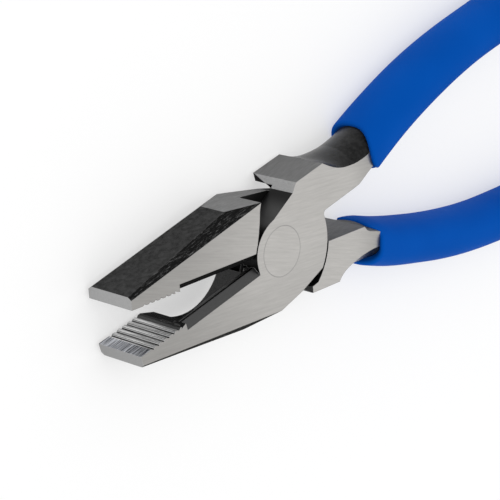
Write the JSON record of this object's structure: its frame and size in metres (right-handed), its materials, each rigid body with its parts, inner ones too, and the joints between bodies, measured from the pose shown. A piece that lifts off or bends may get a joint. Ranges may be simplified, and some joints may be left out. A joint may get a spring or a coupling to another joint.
{
  "type": "lineman pliers",
  "caption": "Side-cutting pliers with serrated jaw tips, a pipe grip, a side cutter, a riveted lap joint and blue dipped handle grips.",
  "frame": {"origin": "on the pivot axis, in the plane of the back ground face, which is the face the head rests on", "axes": "+Z along the pivot axis, out of the front (blade) face; +X along the tool towards the handle ends, jaws towards -X; +Y towards the upper jaw"},
  "size_m": [0.2027, 0.0696, 0.014],
  "materials": {
    "steel_front": "satin ground faces with black oxide forged edges",
    "steel_back": "satin ground faces with black oxide forged edges",
    "rivet_steel": "ground flush with the faces",
    "vinyl": "semi-matte dipped vinyl"
  },
  "bodies": {
    "front_half": {"front_half": "steel_front", "pivot_rivet": "rivet_steel", "upper_grip": "vinyl"},
    "back_half": {"back_half": "steel_back", "lower_grip": "vinyl"}
  },
  "joints": [
    {"name": "jaw_pivot", "type": "hinge", "parent": "front_half", "child": "back_half", "pos_m": [0, 0, 0.006], "axis": [0, 0, -1], "range_deg": [-13.7, 34]}
  ]
}
